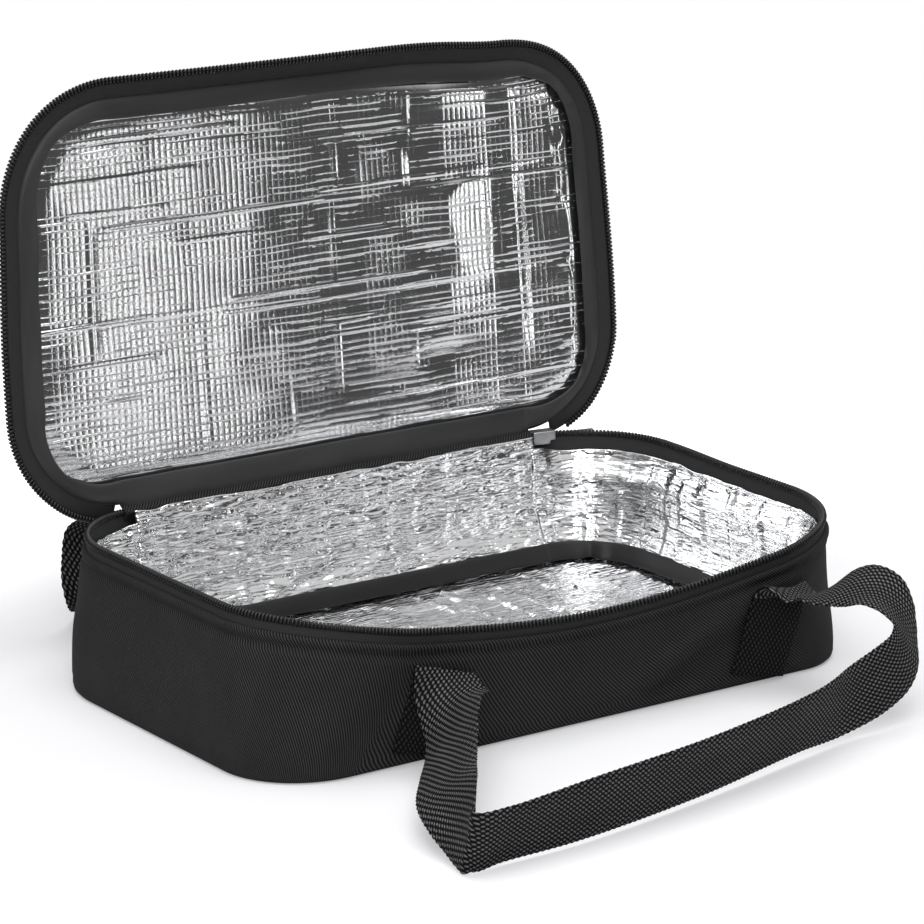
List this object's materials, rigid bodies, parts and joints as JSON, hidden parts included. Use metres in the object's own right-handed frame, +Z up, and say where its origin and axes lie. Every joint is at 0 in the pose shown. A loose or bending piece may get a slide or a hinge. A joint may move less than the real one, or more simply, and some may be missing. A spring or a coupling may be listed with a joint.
{
  "type": "insulated_lunch_bag",
  "caption": "Soft insulated lunch bag in black fabric with a foil lining, zip lid hinged along the back and webbing handles",
  "frame": {"origin": "middle of the base's underside, on the table", "axes": "+X along the bag to the right as seen from the front, +Y towards the hinge at the back, +Z up"},
  "size_m": [0.269, 0.3531, 0.2114],
  "materials": {
    "outer_fabric": "matte woven polyester",
    "webbing": "coarse basket-woven strap",
    "foam": "closed-cell foam sheet",
    "foil": "creased metallised film on a woven scrim",
    "binding": "smooth soft vinyl tape",
    "zip_tape": "woven tape",
    "zip_coil": "nylon coil",
    "slider_metal": "grey cast metal"
  },
  "bodies": {
    "base": {"base_gusset_fabric": "outer_fabric", "base_gusset_foam": "foam", "base_gusset_lining": "foil", "base_back_fabric": "outer_fabric", "base_back_foam": "foam", "base_back_lining": "foil", "base_floor_fabric": "outer_fabric", "base_floor_foam": "foam", "base_floor_lining": "foil", "base_floor_binding": "binding", "base_zip_tape": "zip_tape", "base_zip_coil": "zip_coil", "hinge_strip_lower": "outer_fabric", "front_handle_left_leg": "webbing", "front_handle_right_leg": "webbing", "back_handle_left_leg": "webbing", "back_handle_right_leg": "webbing"},
    "lid": {"lid_outer_fabric": "outer_fabric", "lid_foam": "foam", "lid_lining": "foil", "lid_binding": "binding", "lid_zip_tape": "zip_tape", "lid_zip_coil": "zip_coil", "hinge_strip_upper": "outer_fabric"},
    "slider": {"slider_body": "slider_metal", "slider_crown": "slider_metal"},
    "pull": {"slider_pull": "slider_metal"},
    "front_handle": {"front_handle_strap": "webbing"},
    "back_handle": {"back_handle_strap": "webbing"}
  },
  "joints": [
    {"name": "lid_hinge", "type": "hinge", "parent": "base", "child": "lid", "pos_m": [0, 0.081, 0.0537], "axis": [-1, 0, 0], "range_deg": [-95, 5]},
    {"name": "slider_travel", "type": "hinge", "parent": "base", "child": "slider", "pos_m": [0.091, 0.046, 0.053], "axis": [0, 0, -1], "range_deg": [0, 70]},
    {"name": "pull_swing", "type": "hinge", "parent": "slider", "child": "pull", "pos_m": [0.09829, 0.08736, 0.0508], "axis": [0, 0, 1], "range_deg": [0, 180]},
    {"name": "front_handle_lift", "type": "hinge", "parent": "base", "child": "front_handle", "pos_m": [0, -0.0865, 0.036], "axis": [-1, 0, 0], "range_deg": [0, 75]},
    {"name": "back_handle_lift", "type": "hinge", "parent": "base", "child": "back_handle", "pos_m": [0, 0.0865, 0.036], "axis": [1, 0, 0], "range_deg": [0, 35]}
  ]
}
